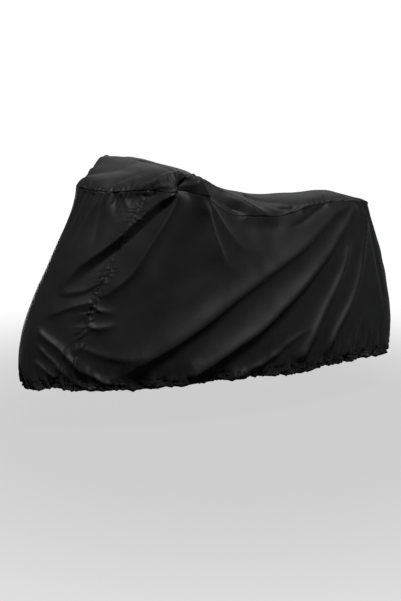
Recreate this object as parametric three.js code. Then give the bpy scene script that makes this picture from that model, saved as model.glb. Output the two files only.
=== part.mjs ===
// Fitted motorcycle cover, hanging hollow as it drapes over a parked motorcycle.
// Millimetres, +X towards the nose, +Y towards the left side, +Z up.
import * as THREE from "three";

const CLOTH_THICKNESS = 2.0;
const SEAM_SETBACK = 0.25; // each panel stops this far short of the seam line it shares
const CLOTH_COLOUR = 0x2b2b2d;

// Stations run round the cover: 0 at the nose, 50 at the tail, negative on the right side.
const TAIL = 50;
const PUCKER_SEAM = 12;
const FRONT_STEPS = 20;
const SIDE_STEPS = 40;
// Levels run down the cover: 0 on the centre line, 1 at the cap seam, 2 at the hem.
const TOP_STEPS = 6;
const SKIRT_STEPS = 16;

// The handlebars stand turned to the left and the machine leans on its stand, so the far grip
// is further forward and higher than the near one. Both slopes are per mm of Y.
const STEER_SLOPE = 0.146;
const LEAN_SLOPE = 0.119;
const BAR_X = 380;
const BAR_REACH = 300;
const LEAN_FROM_Z = 750;
const LEAN_OVER_Z = 400;

// One rib per row: the cover's profile at a station, as x,y,z at each height of the pattern.
// The corner is the shoulder that the cap bends round, and tight says how sharply.
const RIB_COLUMNS = ["station", "spine", "corner", "seam", "upper", "lower", "hem", "tight"];
const RIBS = [
  [0, [560, 0, 1184], [690, 0, 1182], [715, 0, 1122],
    [838, 0, 820], [978, 0, 500], [968, 0, 224], 1],
  [4, [540, 0, 1190], [648, 100, 1178], [667, 115, 1111],
    [800, 90, 820], [945, 85, 500], [945, 75, 228], 1],
  [8, [500, 0, 1204], [568, 192, 1194], [598, 195, 1117],
    [720, 165, 825], [860, 145, 500], [875, 115, 235], 1],
  [12, [450, 0, 1222], [490, 285, 1226], [508, 260, 1137],
    [615, 225, 830], [755, 190, 500], [790, 150, 227], 1.2],
  [16, [410, 0, 1234], [430, 348, 1240], [446, 330, 1140],
    [520, 290, 840], [630, 240, 500], [640, 205, 221], 2],
  [20, [372, 0, 1238], [375, 368, 1236], [378, 334, 1147],
    [420, 335, 840], [470, 300, 500], [470, 250, 227], 3.5],
  [22, [290, 0, 1217], [305, 338, 1224], [302, 330, 1126],
    [335, 325, 830], [380, 315, 500], [380, 270, 233], 2],
  [24, [200, 0, 1184], [226, 236, 1168], [236, 270, 1097],
    [260, 315, 820], [290, 325, 500], [290, 288, 237], 0.8],
  [28, [50, 0, 1125], [88, 164, 1104], [98, 220, 1024],
    [110, 290, 800], [115, 330, 490], [110, 295, 243], 0.8],
  [31, [-50, 0, 1102], [-10, 170, 1097], [0, 205, 993],
    [-5, 275, 785], [-20, 325, 485], [-30, 292, 240], 1],
  [35, [-190, 0, 1083], [-150, 165, 1070], [-140, 200, 976],
    [-155, 265, 770], [-190, 305, 480], [-210, 275, 227], 1],
  [39, [-330, 0, 1088], [-300, 155, 1080], [-290, 195, 1000],
    [-315, 250, 780], [-375, 280, 480], [-400, 248, 230], 1],
  [42, [-450, 0, 1093], [-430, 130, 1085], [-420, 165, 1030],
    [-460, 220, 800], [-525, 245, 485], [-540, 220, 237], 1],
  [45, [-560, 0, 1100], [-560, 100, 1090], [-560, 140, 1040],
    [-610, 185, 810], [-675, 205, 490], [-680, 185, 237], 1],
  [47, [-640, 0, 1089], [-680, 80, 1075], [-690, 110, 1040],
    [-720, 150, 810], [-790, 165, 490], [-790, 152, 233], 1],
  [48.5, [-700, 0, 1070], [-760, 55, 1060], [-785, 75, 1035],
    [-845, 95, 800], [-915, 110, 490], [-905, 102, 224], 1],
  [50, [-740, 0, 1060], [-790, 0, 1050], [-835, 0, 1015],
    [-920, 0, 800], [-998, 0, 490], [-970, 0, 220], 1],
];
// On the right side the grip holds the cap's shoulder up further forward.
const RIGHT_CORNER_COLUMNS = ["station", "corner", "tight"];
const RIGHT_CORNERS = [
  [4, [672, 104, 1166], 2],
  [8, [598, 208, 1206], 2.5],
  [12, [515, 308, 1236], 2.5],
  [16, [455, 365, 1246], 3],
  [22, [305, 338, 1240], 2],
  [24, [230, 265, 1208], 1.2],
  [28, [85, 190, 1128], 1],
];

// One fold per row: the places its crest runs through as [station, level], how far the crest
// stands out, and how far its two flanks reach to the right and left of its run, in mm; a trough
// has a negative height. Soft is how round the crest is. Taper is the share of its size that a
// fold starts with, and rise and fade are the shares of its run over which it comes and goes.
const FOLD_COLUMNS = ["places", "height", "right", "left", "soft", "taper", "rise", "fade"];
const LEFT_FOLDS = [
  // from the handlebar down and forward, across the puckered seam
  [[[18.4, 1.00], [17.3, 1.01], [14.9, 1.06], [13.0, 1.16], [11.4, 1.25], [8.4, 1.36], [5.2, 1.49]],
  32, 58, 26, 0.4, 0.45, 0.06, 0.20],
  [[[20.6, 0.57], [20.1, 0.76], [19.2, 0.93], [17.7, 1.02], [15.6, 1.10], [12.6, 1.27], [9.6, 1.39],
    [6.2, 1.49]], -17, 20, 34, 0.7, 0.4, 0.22, 0.30],
  [[[18.4, 1.01], [17.6, 1.13], [17.1, 1.27], [16.2, 1.40], [14.1, 1.48], [11.9, 1.54]],
  24, 44, 28, 0.5, 0.55, 0.04, 0.25],
  [[[12.7, 1.53], [9.4, 1.55], [7.7, 1.57], [4.8, 1.61]], 13, 28, 15, 0.4, 0.8, 0.15, 0.25],
  // over the nose down and back to the hem
  [[[3.8, 1.64], [6.2, 1.69], [8.9, 1.74], [10.5, 1.78], [12.2, 1.83], [14.2, 1.92]],
  20, 34, 24, 0.4, 0.45, 0.16, 0.15],
  [[[11.7, 1.79], [13.2, 1.85], [14.8, 1.90], [16.8, 1.96]], 15, 22, 15, 0.3, 0.7, 0.10, 0.15],
  [[[12.2, 1.735], [14.4, 1.77], [16.2, 1.79], [18.5, 1.795], [21.5, 1.76]],
  13, 36, 40, 0.5, 0.5, 0.06, 0.40],
  [[[12.3, 1.64], [14.2, 1.65], [16.8, 1.63]], 13, 20, 22, 0.4, 0.6, 0.06, 0.55],
  [[[12.3, 1.55], [13.6, 1.575], [16.2, 1.585]], 12, 17, 26, 0.4, 0.6, 0.06, 0.55],
  // long folds from the tail down and forward to the hem
  [[[46.6, 1.02], [42.7, 1.17], [39.6, 1.26], [36.0, 1.34], [31.9, 1.44], [28.1, 1.54],
    [24.7, 1.65], [21.9, 1.74], [19.2, 1.82], [16.9, 1.93]], 34, 125, 37, 0.4, 0.52, 0.05, 0.12],
  [[[47.3, 1.03], [45.4, 1.18], [42.7, 1.31], [40.1, 1.40], [37.7, 1.48], [34.5, 1.58],
    [31.3, 1.68], [28.2, 1.77], [25.1, 1.88], [22.8, 1.95]], 37, 84, 35, 0.33, 0.50, 0.04, 0.10],
  [[[38.4, 1.69], [35.5, 1.76], [32.7, 1.85], [30.1, 1.92], [27.8, 1.97]],
  18, 30, 28, 0.3, 0.4, 0.20, 0.10],
  [[[45.7, 1.26], [44.1, 1.40], [42.1, 1.51], [39.9, 1.62], [37.7, 1.77], [36.0, 1.92]],
  30, 42, 32, 0.35, 0.4, 0.12, 0.12],
  [[[48.3, 1.05], [47.3, 1.29], [46.2, 1.43], [44.5, 1.56], [42.9, 1.65], [41.2, 1.74],
    [39.3, 1.90]], 25, 26, 27, 0.3, 0.4, 0.05, 0.12],
  [[[45.4, 1.67], [43.8, 1.79], [42.5, 1.94]], 12, 19, 15, 0.3, 0.5, 0.20, 0.10],
  [[[47.9, 1.03], [48.5, 1.14], [48.3, 1.30], [48.2, 1.47], [48.3, 1.74]],
  -13, 15, 15, 0.4, 0.6, 0.06, 0.25],
  // swags that hang between the handlebar and the tail
  [[[20.8, 0.80], [21.5, 1.02], [23.1, 1.10], [24.5, 1.18], [25.5, 1.25], [26.7, 1.32],
    [28.0, 1.38], [31.0, 1.43]], 38, 84, 54, 0.40, 0.65, 0.04, 0.40],
  [[[20.8, 0.62], [21.1, 0.80], [22.0, 0.94], [23.6, 1.03], [25.2, 1.08], [27.8, 1.18], [30.6, 1.27],
    [35.0, 1.27]], 28, 50, 46, 0.40, 0.60, 0.06, 0.40],
  [[[25.8, 1.07], [29.5, 1.10], [34.0, 1.10], [40.5, 1.06]], -9, 40, 50, 1.2, 1.0, 0.35, 0.35],
];
const CAP_FOLDS = [
  // pleats that fan from the puckers to the grip
  [[[10.0, 0.97], [11.6, 0.90], [13.0, 0.83], [14.7, 0.71], [16.8, 0.64], [20.2, 0.62]],
  12, 44, 15, 0.4, 0.6, 0.10, 0.12],
  // where the cap drops to the tank and seat
  [[[22.3, 0.50], [23.6, 0.51], [25.6, 0.54], [27.4, 0.63], [28.8, 0.73], [30.5, 0.87], [32.0, 1.02]],
  -29, 46, 30, 0.4, 0.7, 0.10, 0.25],
  [[[23.2, 0.26], [25.8, 0.38], [28.2, 0.50], [30.6, 0.67], [32.8, 0.83], [34.8, 0.96], [37.0, 1.05]],
  30, 52, 32, 0.6, 0.7, 0.15, 0.25],
  [[[32.0, 0.22], [34.2, 0.40], [36.1, 0.60], [38.2, 0.83], [40.2, 1.01]],
  -19, 18, 26, 0.4, 1.0, 0.10, 0.15],
];
const FOLD_DEPTH = 1.3;
// The hidden right side hangs the same way, a little shallower and shifted along.
const RIGHT_SHIFT = -0.8;
const RIGHT_DEPTH = 0.85;
const FOLD_STEPS = 40;
const CREST_FADE = 1.5; // how steeply a fold falls off over one flank
const NEARBY = { station: 0.15, level: 0.03 }; // how far apart the drape's slopes are taken
const LEAST_FLANK = 34; // the narrowest that facets this size can carry
const CALM_LEVEL = 0.1; // folds fade out this near the cap's centre line

const POINT_COLUMNS = RIB_COLUMNS.slice(1, -1);
const ribs = named(RIBS, RIB_COLUMNS);
const rightRibs = ribs.map((rib) => ({
  ...rib, ...named(RIGHT_CORNERS, RIGHT_CORNER_COLUMNS).find((row) => row.station === rib.station),
}));
const folds = named([...LEFT_FOLDS, ...CAP_FOLDS], FOLD_COLUMNS);

// Rows as objects with the names of their columns.
function named(rows, columns) {
  return rows.map((row) => Object.fromEntries(columns.map((name, i) => [name, row[i]])));
}

function smooth(t) {
  const c = Math.min(Math.max(t, 0), 1);
  return c * c * (3 - 2 * c);
}

function mirrored(rib, about) {
  const copy = { ...rib, station: 2 * about - rib.station };
  for (const name of POINT_COLUMNS) {
    copy[name] = [rib[name][0], -rib[name][1], rib[name][2]];
  }
  return copy;
}

// One side's ribs, with two mirrored ones past each end so that the sides join smoothly.
function loop(side) {
  return [mirrored(side[2], 0), mirrored(side[1], 0), ...side,
    mirrored(side.at(-2), TAIL), mirrored(side.at(-3), TAIL)];
}

const LEFT_LOOP = loop(ribs);
const RIGHT_LOOP = loop(rightRibs);

function flat(rib) {
  return [...POINT_COLUMNS.flatMap((name) => rib[name]), rib.tight];
}

// Cubic through a side's ribs, with tangents weighted for uneven spacing.
function profile(station) {
  const side = station < 0 ? RIGHT_LOOP : LEFT_LOOP;
  const at = Math.abs(station);
  let i = 2;
  while (i < side.length - 4 && side[i + 1].station < at) {
    i += 1;
  }
  const rows = side.slice(i - 1, i + 3).map(flat);
  const [h0, h1, h2] = [0, 1, 2].map((k) => side[i + k].station - side[i + k - 1].station);
  const t = (at - side[i].station) / h1;
  return rows[0].map((_, c) => {
    const [a, b, d, e] = rows.map((row) => row[c]);
    const [s0, s1, s2] = [(b - a) / h0, (d - b) / h1, (e - d) / h2];
    const m0 = (s0 * h1 + s1 * h0) / (h0 + h1);
    const m1 = (s1 * h2 + s2 * h1) / (h1 + h2);
    return (2 * t ** 3 - 3 * t * t + 1) * b + (t ** 3 - 2 * t * t + t) * h1 * m0
      + (3 * t * t - 2 * t ** 3) * d + (t ** 3 - t * t) * h1 * m1;
  });
}

function blend(points, weights) {
  const sum = new THREE.Vector3();
  points.forEach((point, i) => sum.addScaledVector(point, weights[i]));
  return sum;
}

// The cap is a weighted arc spine-corner-seam; below it one cubic runs through the other four.
function drape(station, level) {
  const row = profile(station);
  const points = POINT_COLUMNS.map((_, i) => new THREE.Vector3(...row.slice(3 * i, 3 * i + 3)));
  const tight = row.at(-1);
  let point;
  if (level < 1) {
    const arc = [(1 - level) ** 2, 2 * level * (1 - level) * tight, level ** 2];
    point = blend(points.slice(0, 3), arc).divideScalar(arc[0] + arc[1] + arc[2]);
  } else {
    const v = 3 * (level - 1);
    point = blend(points.slice(2), [-(v - 1) * (v - 2) * (v - 3) / 6, v * (v - 2) * (v - 3) / 2,
      -v * (v - 1) * (v - 3) / 2, v * (v - 1) * (v - 2) / 6]);
  }
  point.y *= station < 0 ? -1 : 1;
  const near = Math.exp(-(((point.x - BAR_X) / BAR_REACH) ** 2));
  const lean = point.y * near * smooth((point.z - LEAN_FROM_Z) / LEAN_OVER_Z);
  point.x -= STEER_SLOPE * lean;
  point.z -= LEAN_SLOPE * lean;
  return point;
}

// Outward direction of the smooth drape, from short steps round and down it.
function outward(station, level) {
  const round = drape(station + NEARBY.station, level).sub(drape(station - NEARBY.station, level));
  const above = drape(station, Math.max(level - NEARBY.level, 0));
  const below = drape(station, Math.min(level + NEARBY.level, 2));
  return below.sub(above).cross(round).normalize();
}

// Even-paced cubic through a fold's places.
function foldPlace(places, t) {
  const i = Math.min(Math.floor(t), places.length - 2);
  const u = t - i;
  const past = (near, far) => near.map((value, axis) => 2 * value - far[axis]);
  const [a, b, c, d] = [places[i - 1] ?? past(places[0], places[1]), places[i], places[i + 1],
    places[i + 2] ?? past(places.at(-1), places.at(-2))];
  return b.map((_, axis) => (2 * b[axis] + (c[axis] - a[axis]) * u
    + (2 * a[axis] - 5 * b[axis] + 4 * c[axis] - d[axis]) * u ** 2
    + (3 * (b[axis] - c[axis]) + d[axis] - a[axis]) * u ** 3) / 2);
}

// A fold on one side of the cover: its crest in short runs, each with the direction to its right.
function foldLine(fold, side) {
  const shift = side < 0 ? RIGHT_SHIFT : 0;
  const stops = Array.from({ length: FOLD_STEPS + 1 }, (_, i) => {
    const [station, level] = foldPlace(fold.places, i / FOLD_STEPS * (fold.places.length - 1));
    return [side * (station + shift), level];
  });
  const line = stops.map((stop) => drape(...stop));
  const runs = line.slice(1).map((end, i) => {
    const run = end.clone().sub(line[i]);
    const right = run.clone().cross(outward(...stops[i])).normalize().multiplyScalar(side);
    return { start: line[i], run, right };
  });
  return { ...fold, side, height: FOLD_DEPTH * fold.height * (side < 0 ? RIGHT_DEPTH : 1), runs };
}

const foldLines = [1, -1].flatMap((side) => folds.map((fold) => foldLine(fold, side)));

// The nearest point of a fold's crest: how far off it is, how far along, and on which side.
function nearest(point, runs) {
  let best = { distance: Infinity };
  runs.forEach(({ start, run, right }, i) => {
    const away = point.clone().sub(start);
    const t = Math.min(Math.max(away.dot(run) / run.lengthSq(), 0), 1);
    const gap = away.addScaledVector(run, -t);
    if (gap.length() < best.distance) {
      best = { distance: gap.length(), along: (i + t) / FOLD_STEPS, onRight: gap.dot(right) > 0 };
    }
  });
  return best;
}

// Height of one side's folds at a point of the smooth drape: each falls off exponentially on
// either flank from a rounded crest.
function foldHeight(point, side) {
  return foldLines.filter((fold) => fold.side === side).reduce((sum, fold) => {
    const { distance, along, onRight } = nearest(point, fold.runs);
    const size = fold.taper + (1 - fold.taper) * along;
    const flank = Math.max((onRight ? fold.right : fold.left) * size, LEAST_FLANK);
    const bell = Math.exp(fold.soft - Math.hypot(fold.soft, CREST_FADE * distance / flank));
    const ends = smooth(along / fold.rise) * smooth((1 - along) / fold.fade);
    return sum + fold.height * size * ends * bell;
  }, 0);
}

function steps(from, to, count) {
  return Array.from({ length: count }, (_, i) => from + (to - from) * i / count);
}

const half = [...steps(0, PUCKER_SEAM, FRONT_STEPS / 2), ...steps(PUCKER_SEAM, TAIL, SIDE_STEPS)];
const STATIONS = [...half, TAIL, ...half.slice(1).reverse().map((station) => -station)];
const LEVELS = [...steps(0, 1, TOP_STEPS), ...steps(1, 2, SKIRT_STEPS), 2];
const ROUND = STATIONS.length;
const DOWN = LEVELS.length;

// Both sides share their vertices on the centre line, which is level 0.
function index(i, r) {
  const column = (i + ROUND) % ROUND;
  return (r === 0 ? Math.min(column, ROUND - column) : column) * DOWN + r;
}

// Split each cell along the way its side's folds run.
function cell(i, r) {
  const [a, b, c, d] = [index(i, r), index(i, r + 1), index(i + 1, r + 1), index(i + 1, r)];
  return i < ROUND / 2 ? [[a, b, d], [b, c, d]] : [[a, b, c], [a, c, d]];
}

function vertexNormals(points) {
  const normals = points.map(() => new THREE.Vector3());
  for (let i = 0; i < ROUND; i += 1) {
    for (let r = 0; r < DOWN - 1; r += 1) {
      for (const [a, b, c] of cell(i, r)) {
        const face = points[b].clone().sub(points[a]).cross(points[c].clone().sub(points[a]));
        [a, b, c].forEach((corner) => normals[corner].add(face));
      }
    }
  }
  return normals.map((normal) => normal.normalize());
}

function shape() {
  const places = STATIONS.flatMap((station) => LEVELS.map((level) => [station, level]));
  const outer = places.map(([station, level]) => {
    const point = drape(station, level);
    const lift = foldHeight(point, station < 0 ? -1 : 1) * smooth(level / CALM_LEVEL);
    return point.addScaledVector(outward(station, level), lift);
  });
  const box = new THREE.Box3().setFromPoints(outer);
  const middle = box.getCenter(new THREE.Vector3());
  outer.forEach((point) => point.sub(new THREE.Vector3(middle.x, middle.y, box.min.z)));
  return { outer, normals: vertexNormals(outer) };
}

const { outer, normals } = shape();

// A vertex of one panel: on a seam it is set back towards the panel's own next vertex.
function corner(i, r, panel) {
  const here = outer[index(i, r)];
  const point = here.clone();
  const pull = (to) => point.addScaledVector(to.clone().sub(here).normalize(), SEAM_SETBACK);
  if (!panel.closedRound && (i === panel.from || i === panel.to)) {
    pull(outer[index(i === panel.from ? i + 1 : i - 1, r)]);
  }
  if (r === TOP_STEPS) {
    pull(outer[index(i, panel.first === TOP_STEPS ? r + 1 : r - 1)]);
  }
  return point;
}

// Outer faces, the same faces inside, and an edge strip along every side that only one face
// uses. Strips on the two sides of a seam are split along the same diagonal, so that they stay
// parallel. A slot is where a vertex's outer point is; its inner point comes next.
function solidFaces(faces, slots) {
  const edges = new Map();
  const indices = [];
  for (const [a, b, c] of faces) {
    [[a, b], [b, c], [c, a]].forEach(([p, q]) => edges.set(`${p},${q}`, [p, q]));
    const [oa, ob, oc] = [a, b, c].map((key) => slots.get(key));
    indices.push(oa, ob, oc, oa + 1, oc + 1, ob + 1);
  }
  for (const [p, q] of edges.values()) {
    if (!edges.has(`${q},${p}`)) {
      const [op, oq] = [slots.get(p), slots.get(q)];
      const last = p < q ? [op, op + 1, oq] : [op, op + 1, oq + 1];
      const next = p < q ? [oq, op + 1, oq + 1] : [op, oq + 1, oq];
      indices.push(...last, ...next);
    }
  }
  return indices;
}

// A panel's mesh, from the outer points of its cells and the ones a cloth thickness inside.
function panelMesh(name, panel) {
  const slots = new Map();
  const positions = [];
  const faces = [];
  for (let i = panel.from; i < panel.to; i += 1) {
    for (let r = panel.first; r < panel.last; r += 1) {
      for (const [column, row] of [[i, r], [i, r + 1], [i + 1, r + 1], [i + 1, r]]) {
        const key = index(column, row);
        if (!slots.has(key)) {
          const top = corner(column, row, panel);
          const under = top.clone().addScaledVector(normals[key], -CLOTH_THICKNESS);
          slots.set(key, positions.length / 3);
          positions.push(top.x, top.y, top.z, under.x, under.y, under.z);
        }
      }
      faces.push(...cell(i, r));
    }
  }
  const geometry = new THREE.BufferGeometry();
  geometry.setAttribute("position", new THREE.Float32BufferAttribute(positions, 3));
  geometry.setIndex(solidFaces(faces, slots));
  geometry.computeVertexNormals();
  const material = new THREE.MeshStandardMaterial({ color: CLOTH_COLOUR, roughness: 0.7 });
  const mesh = new THREE.Mesh(geometry, material);
  mesh.name = name;
  return mesh;
}

const SEAM_AT = FRONT_STEPS / 2;
const TAIL_AT = ROUND / 2;
const skirt = { first: TOP_STEPS, last: DOWN - 1 };
const PANELS = {
  top_panel: { from: 0, to: ROUND, first: 0, last: TOP_STEPS, closedRound: true },
  front_panel: { from: -SEAM_AT, to: SEAM_AT, ...skirt },
  left_side_panel: { from: SEAM_AT, to: TAIL_AT, ...skirt },
  right_side_panel: { from: TAIL_AT, to: ROUND - SEAM_AT, ...skirt },
};

const cover = new THREE.Group();
cover.name = "motorcycle_cover";
for (const [name, panel] of Object.entries(PANELS)) {
  cover.add(panelMesh(name, panel));
}

export default cover;
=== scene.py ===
"""Fitted motorcycle cover: four sewn cloth panels draped over a parked machine that is left out."""

import itertools
import math
from collections import namedtuple

import bpy
import numpy as np
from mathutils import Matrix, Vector


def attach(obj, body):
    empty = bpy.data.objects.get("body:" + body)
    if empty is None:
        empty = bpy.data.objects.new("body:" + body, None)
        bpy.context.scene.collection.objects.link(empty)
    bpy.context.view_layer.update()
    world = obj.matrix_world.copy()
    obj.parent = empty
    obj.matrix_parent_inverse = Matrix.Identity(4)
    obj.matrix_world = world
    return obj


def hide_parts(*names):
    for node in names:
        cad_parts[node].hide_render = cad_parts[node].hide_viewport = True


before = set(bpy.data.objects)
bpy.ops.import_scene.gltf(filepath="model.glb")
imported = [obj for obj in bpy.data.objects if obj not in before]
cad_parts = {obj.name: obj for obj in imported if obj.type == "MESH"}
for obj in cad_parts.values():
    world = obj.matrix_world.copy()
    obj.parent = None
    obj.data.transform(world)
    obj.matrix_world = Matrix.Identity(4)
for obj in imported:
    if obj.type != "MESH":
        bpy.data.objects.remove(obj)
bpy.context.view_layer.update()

bl_info = {
    "name": "Fitted Motorcycle Cover",
    "version": (1, 0, 0),
    "blender": (4, 5, 0),
    "location": "View3D > Sidebar > Cover",
    "description": "Builds a draped motorcycle cover panel by panel, with folds, gathers and stitches",
    "category": "Add Mesh",
}

MM = 0.001

# Stations run round the cover: 0 at the nose, 50 at the tail, negative on the right side.
# Levels run down it: 0 on the centre line of the cap, 1 at the cap seam, 2 at the hem.
TAIL = 50.0
PUCKER_SEAM = 12.0
CAP_SEAM = 1.0
HEM = 2.0

# One rib per row, in mm: the cover's profile at a station. The corner is the shoulder that the
# cap bends round, and tight says how sharply.
# Columns: station, spine, corner, seam, upper, lower, hem, tight.
RIBS = (
    (0, (560, 0, 1184), (690, 0, 1182), (715, 0, 1122),
     (838, 0, 820), (978, 0, 500), (968, 0, 224), 1),
    (4, (540, 0, 1190), (648, 100, 1178), (667, 115, 1111),
     (800, 90, 820), (945, 85, 500), (945, 75, 228), 1),
    (8, (500, 0, 1204), (568, 192, 1194), (598, 195, 1117),
     (720, 165, 825), (860, 145, 500), (875, 115, 235), 1),
    (12, (450, 0, 1222), (490, 285, 1226), (508, 260, 1137),
     (615, 225, 830), (755, 190, 500), (790, 150, 227), 1.2),
    (16, (410, 0, 1234), (430, 348, 1240), (446, 330, 1140),
     (520, 290, 840), (630, 240, 500), (640, 205, 221), 2),
    (20, (372, 0, 1238), (375, 368, 1236), (378, 334, 1147),
     (420, 335, 840), (470, 300, 500), (470, 250, 227), 3.5),
    (22, (290, 0, 1217), (305, 338, 1224), (302, 330, 1126),
     (335, 325, 830), (380, 315, 500), (380, 270, 233), 2),
    (24, (200, 0, 1184), (226, 236, 1168), (236, 270, 1097),
     (260, 315, 820), (290, 325, 500), (290, 288, 237), 0.8),
    (28, (50, 0, 1125), (88, 164, 1104), (98, 220, 1024),
     (110, 290, 800), (115, 330, 490), (110, 295, 243), 0.8),
    (31, (-50, 0, 1102), (-10, 170, 1097), (0, 205, 993),
     (-5, 275, 785), (-20, 325, 485), (-30, 292, 240), 1),
    (35, (-190, 0, 1083), (-150, 165, 1070), (-140, 200, 976),
     (-155, 265, 770), (-190, 305, 480), (-210, 275, 227), 1),
    (39, (-330, 0, 1088), (-300, 155, 1080), (-290, 195, 1000),
     (-315, 250, 780), (-375, 280, 480), (-400, 248, 230), 1),
    (42, (-450, 0, 1093), (-430, 130, 1085), (-420, 165, 1030),
     (-460, 220, 800), (-525, 245, 485), (-540, 220, 237), 1),
    (45, (-560, 0, 1100), (-560, 100, 1090), (-560, 140, 1040),
     (-610, 185, 810), (-675, 205, 490), (-680, 185, 237), 1),
    (47, (-640, 0, 1089), (-680, 80, 1075), (-690, 110, 1040),
     (-720, 150, 810), (-790, 165, 490), (-790, 152, 233), 1),
    (48.5, (-700, 0, 1070), (-760, 55, 1060), (-785, 75, 1035),
     (-845, 95, 800), (-915, 110, 490), (-905, 102, 224), 1),
    (50, (-740, 0, 1060), (-790, 0, 1050), (-835, 0, 1015),
     (-920, 0, 800), (-998, 0, 490), (-970, 0, 220), 1),
)
# On the right side the grip holds the cap's shoulder up further forward.
# Columns: station, corner, tight.
RIGHT_CORNERS = (
    (4, (672, 104, 1166), 2),
    (8, (598, 208, 1206), 2.5),
    (12, (515, 308, 1236), 2.5),
    (16, (455, 365, 1246), 3),
    (22, (305, 338, 1240), 2),
    (24, (230, 265, 1208), 1.2),
    (28, (85, 190, 1128), 1),
)

# The handlebars stand turned to the left and the machine leans on its stand.
STEER_SLOPE = 0.146
LEAN_SLOPE = 0.119
BAR_X = 380 * MM
BAR_REACH = 300 * MM
LEAN_FROM_Z = 750 * MM
LEAN_OVER_Z = 400 * MM

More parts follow.
